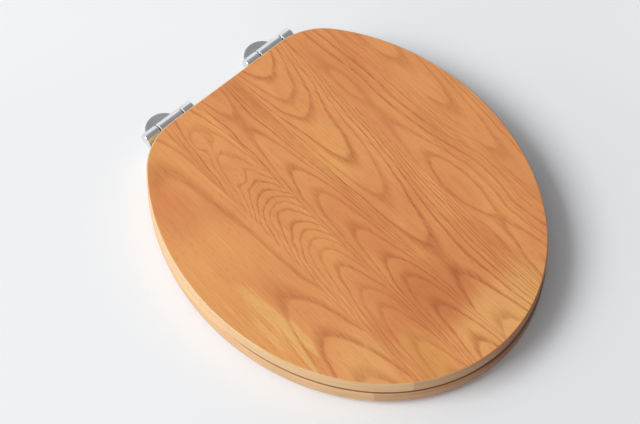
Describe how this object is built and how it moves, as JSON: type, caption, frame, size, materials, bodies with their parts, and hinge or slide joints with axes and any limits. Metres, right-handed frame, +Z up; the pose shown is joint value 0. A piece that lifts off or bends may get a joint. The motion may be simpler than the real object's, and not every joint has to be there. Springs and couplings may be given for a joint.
{
  "type": "toilet seat",
  "caption": "Wooden toilet seat: a flat oval lid over an open ring, straight at the back, on chrome barrel hinges that stand on round discs bolted to the pan.",
  "frame": {"origin": "midway between the two fixing holes, on the face that the seat stands on", "axes": "+X across the seat along the hinge pins, +Y from the front of the seat to the hinges, +Z up"},
  "size_m": [0.373, 0.4543, 0.047],
  "materials": {
    "wood": "satin lacquer",
    "chrome": "polished",
    "satin_steel": "satin",
    "pin_steel": "ground",
    "screw_steel": "zinc plated",
    "nylon": "moulded",
    "gasket_rubber": "soft",
    "buffer_rubber": "soft"
  },
  "bodies": {
    "hinge_bases": {"left_base_knuckle": "chrome", "left_base_disc": "satin_steel", "left_base_gasket": "gasket_rubber", "left_hinge_pin": "pin_steel", "right_base_knuckle": "chrome", "right_base_disc": "satin_steel", "right_base_gasket": "gasket_rubber", "right_hinge_pin": "pin_steel"},
    "ring": {"seat_ring": "wood", "ring_strap_screws": "screw_steel", "left_ring_bracket": "chrome", "left_ring_bush": "nylon", "right_ring_bracket": "chrome", "right_ring_bush": "nylon", "ring_buffer_front_left": "buffer_rubber", "ring_buffer_front_right": "buffer_rubber", "ring_buffer_back_left": "buffer_rubber", "ring_buffer_back_right": "buffer_rubber"},
    "lid": {"lid_panel": "wood", "lid_strap_screws": "screw_steel", "left_lid_bracket": "chrome", "left_lid_bush": "nylon", "left_end_plug": "chrome", "right_lid_bracket": "chrome", "right_lid_bush": "nylon", "right_end_plug": "chrome", "lid_buffer_front_left": "buffer_rubber", "lid_buffer_front_right": "buffer_rubber"}
  },
  "joints": [
    {"name": "ring_lift", "type": "hinge", "parent": "hinge_bases", "child": "ring", "pos_m": [0, -0.0125, 0.0282], "axis": [-1, 0, 0], "range_deg": [0, 94]},
    {"name": "lid_lift", "type": "hinge", "parent": "ring", "child": "lid", "pos_m": [0, -0.0125, 0.0282], "axis": [-1, 0, 0], "range_deg": [0, 87.5]}
  ]
}
